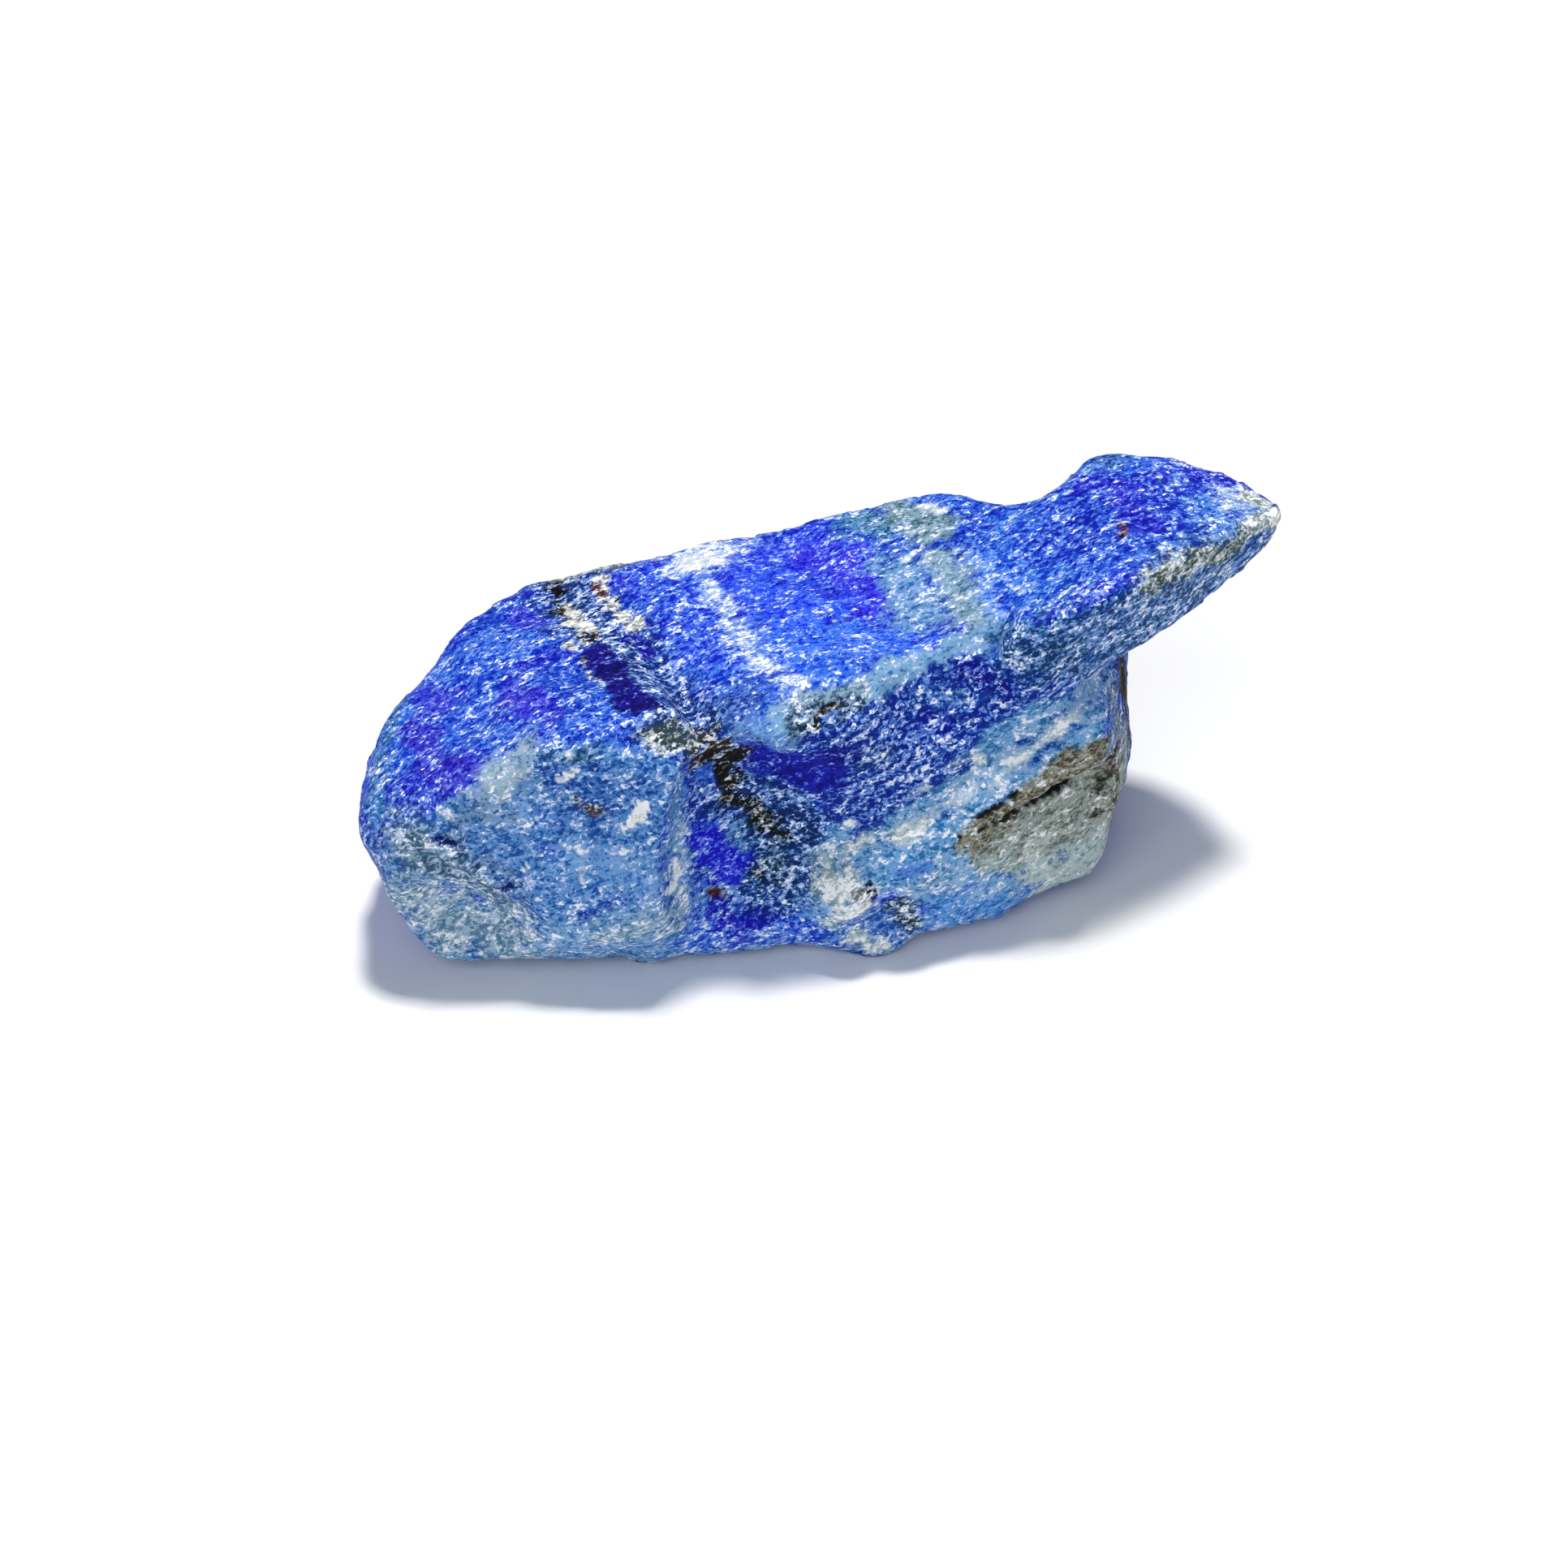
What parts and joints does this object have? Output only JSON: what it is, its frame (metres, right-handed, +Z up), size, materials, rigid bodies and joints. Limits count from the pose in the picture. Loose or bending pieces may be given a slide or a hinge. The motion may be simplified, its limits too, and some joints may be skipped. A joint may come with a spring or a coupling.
{
  "type": "rough lapis lazuli stone",
  "caption": "Rough lapis lazuli: an elongated blue broken stone with a flat underside, a diagonal vein across the top and an overhanging beak at one end.",
  "frame": {"origin": "on the flat underside, below the middle of the stone's length and of its width", "axes": "+X along the stone's length, towards the overhanging beak; +Y towards the far side, away from the broken front with the dark hollow; +Z up"},
  "size_m": [0.0458, 0.0212, 0.0215],
  "materials": {
    "stone": "rough, dull broken rock with small glints; deep blue and violet with white, grey and brown patches"
  },
  "bodies": {
    "root": {"stone": "stone"}
  },
  "joints": []
}
